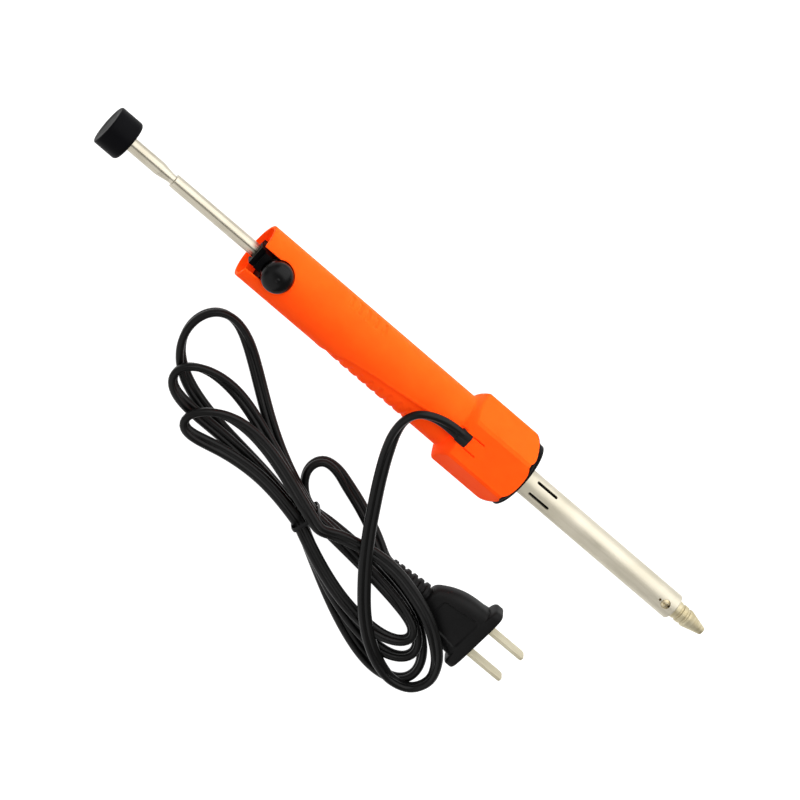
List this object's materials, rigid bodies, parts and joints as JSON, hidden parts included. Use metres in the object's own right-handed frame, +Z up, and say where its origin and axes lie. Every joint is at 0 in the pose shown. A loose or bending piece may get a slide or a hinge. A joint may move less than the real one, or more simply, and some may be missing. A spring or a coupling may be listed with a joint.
{
  "type": "desoldering_pump",
  "caption": "Electric desoldering pump with orange barrel, hexagonal collar, sprung plunger, heated hollow nozzle and a mains lead tied in a hank",
  "frame": {"origin": "middle of the collar's bottom flat, which lies on the table", "axes": "+X along the tool towards the nozzle, +Z up with the button and the cord's entry on top, cord and plug on the -Y side"},
  "size_m": [0.3093, 0.1192, 0.0322],
  "materials": {
    "orange_plastic": "moulded nylon, fine grain",
    "black_plastic": "moulded, satin",
    "cord_pvc": "extruded, satin",
    "seal_rubber": "moulded, matte",
    "steel_tube": "drawn, brushed",
    "plated_steel": "nickel plated",
    "spring_steel": "wound wire",
    "nozzle_metal": "turned, tinned",
    "brass": "turned",
    "heater_ceramic": "fired",
    "wire_sleeving": "glass sleeving"
  },
  "bodies": {
    "casing": {"barrel": "orange_plastic", "collar": "orange_plastic", "front_disc": "black_plastic", "rear_guide": "black_plastic", "trigger_spring": "spring_steel", "main_spring": "spring_steel", "chamber_plug": "black_plastic", "pipe_seal": "seal_rubber", "suction_pipe": "plated_steel", "heater_tube": "steel_tube", "heater_former": "heater_ceramic", "heater_winding": "spring_steel", "heater_sleeve": "heater_ceramic", "lead_wires": "wire_sleeving", "nozzle": "nozzle_metal", "nozzle_bush": "brass", "nozzle_screw": "plated_steel", "cord_gland": "cord_pvc", "cord_lead": "cord_pvc", "cord_hank": "cord_pvc", "cord_tie": "black_plastic", "cord_tail": "cord_pvc", "plug_body": "cord_pvc", "plug_blades": "plated_steel"},
    "plunger": {"plunger_knob": "black_plastic", "plunger_rod": "plated_steel", "piston": "black_plastic", "piston_ring": "seal_rubber"},
    "trigger": {"trigger_button": "black_plastic", "latch_plate": "plated_steel"}
  },
  "joints": [
    {"name": "plunger_slide", "type": "slide", "parent": "casing", "child": "plunger", "axis": [1, 0, 0], "range_m": [0, 0.053], "stiffness_N_per_m": 150, "springref_m": -0.02, "deforming": ["main_spring"]},
    {"name": "trigger_press", "type": "slide", "parent": "casing", "child": "trigger", "axis": [0, 0, -1], "range_m": [0, 0.0025], "stiffness_N_per_m": 400, "springref_m": -0.001, "deforming": ["trigger_spring"]}
  ]
}
